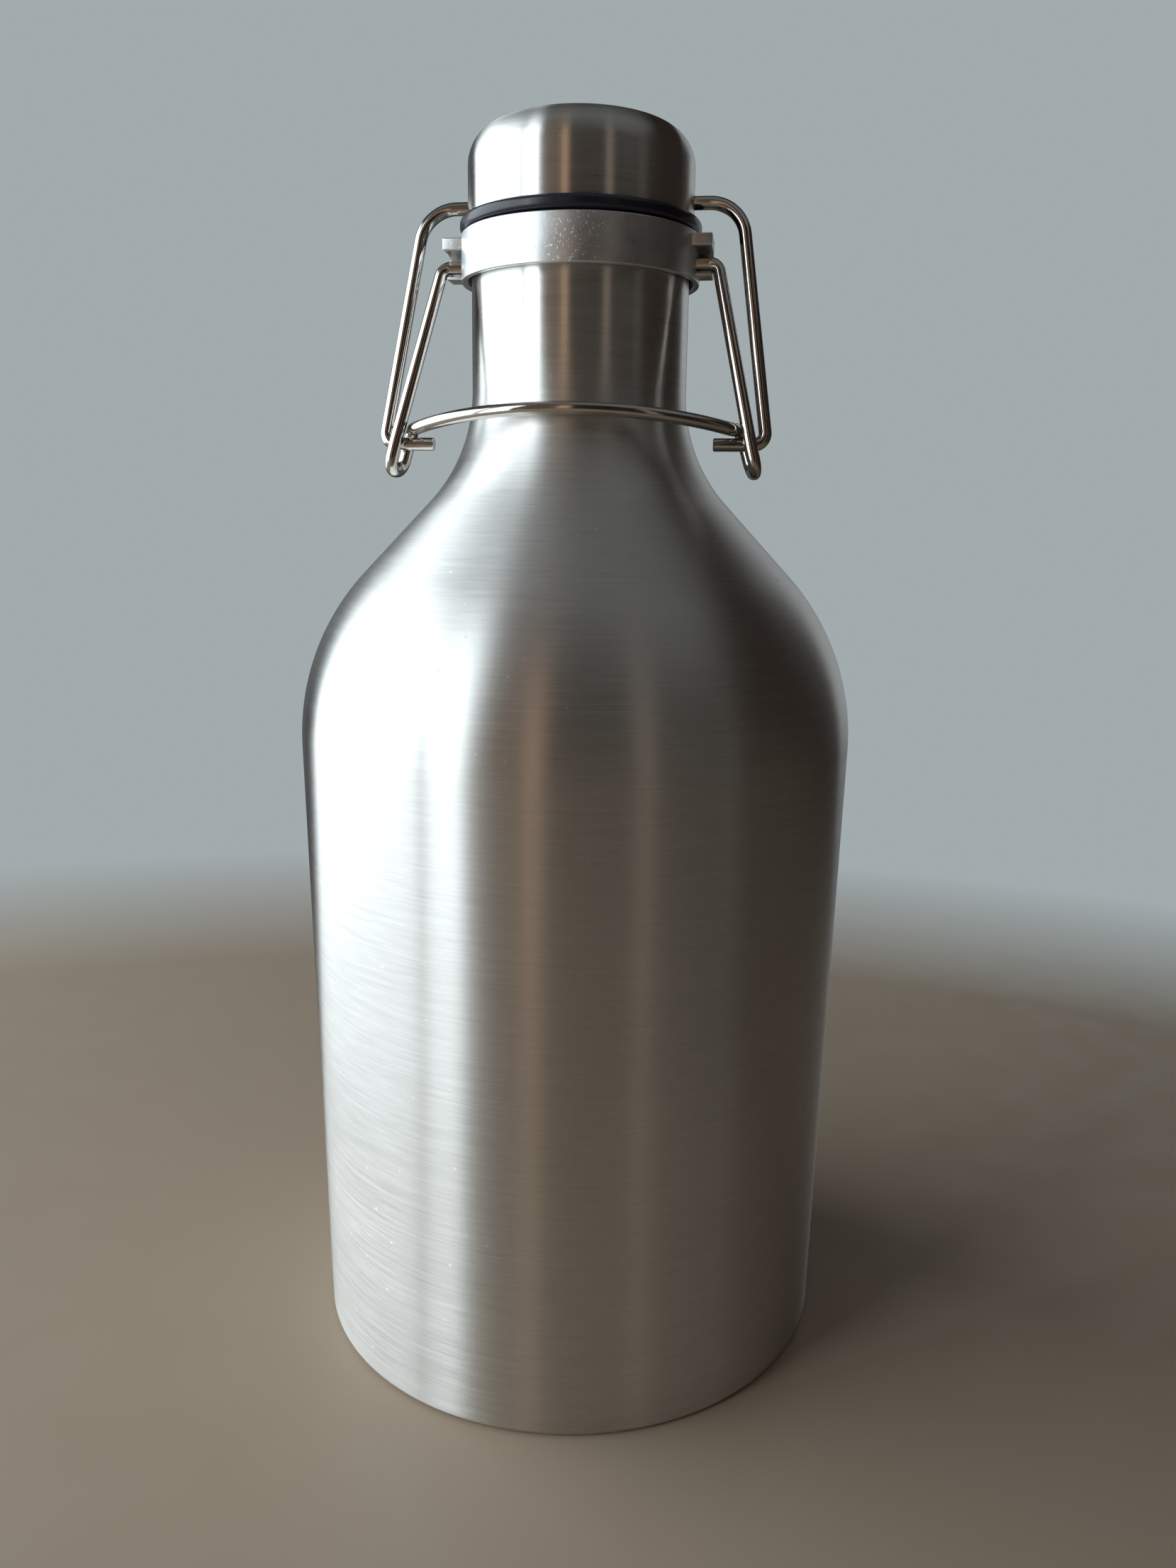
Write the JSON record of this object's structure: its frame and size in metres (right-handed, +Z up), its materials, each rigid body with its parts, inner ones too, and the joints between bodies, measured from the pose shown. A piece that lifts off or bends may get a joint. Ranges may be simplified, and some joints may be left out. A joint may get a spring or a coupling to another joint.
{
  "type": "swing-top growler",
  "caption": "Double-wall insulated steel growler with a domed shoulder, a narrow neck with a lugged collar, and a steel cap held by a wire bail and lever.",
  "frame": {"origin": "centre of the foot, on the surface that the bottle stands on", "axes": "+Z up the bottle's axis, -Y to the thumb handle at the front, X along the pins of the closure"},
  "size_m": [0.1276, 0.1276, 0.2754],
  "materials": {
    "body_steel": "brushed round the axis",
    "base_steel": "brushed",
    "liner_steel": "satin",
    "collar_steel": "cast and turned, satin",
    "wire_steel": "polished drawn wire",
    "cap_steel": "brushed round the axis",
    "core_plastic": "moulded, fine matte",
    "silicone": "moulded, satin",
    "getter_alloy": "sintered",
    "solder": "as set"
  },
  "bodies": {
    "bottle": {"body_shell": "body_steel", "shoulder_shell": "body_steel", "neck_shell": "body_steel", "outer_base": "base_steel", "inner_vessel": "liner_steel", "inner_base": "liner_steel", "getter": "getter_alloy", "evacuation_seal": "solder", "neck_collar": "collar_steel"},
    "lever": {"lever_wire": "wire_steel"},
    "bail": {"bail_wire": "wire_steel"},
    "cap": {"cap_shell": "cap_steel", "cap_core": "core_plastic", "cap_gasket": "silicone"}
  },
  "joints": [
    {"name": "lever_swing", "type": "hinge", "parent": "bottle", "child": "lever", "pos_m": [0, -0.0035, 0.247], "axis": [-1, 0, 0], "range_deg": [0, 210]},
    {"name": "bail_swing", "type": "hinge", "parent": "lever", "child": "bail", "pos_m": [0, -0.0105, 0.209], "axis": [-1, 0, 0], "range_deg": [-89, 0]},
    {"name": "cap_tilt", "type": "hinge", "parent": "bail", "child": "cap", "pos_m": [0, 0, 0.26], "axis": [-1, 0, 0], "range_deg": [-106, 0]}
  ],
  "couplings": [
    {"joint": "bail_swing", "follows": "lever_swing", "ratio": -0.42},
    {"joint": "cap_tilt", "follows": "lever_swing", "ratio": -0.5}
  ]
}
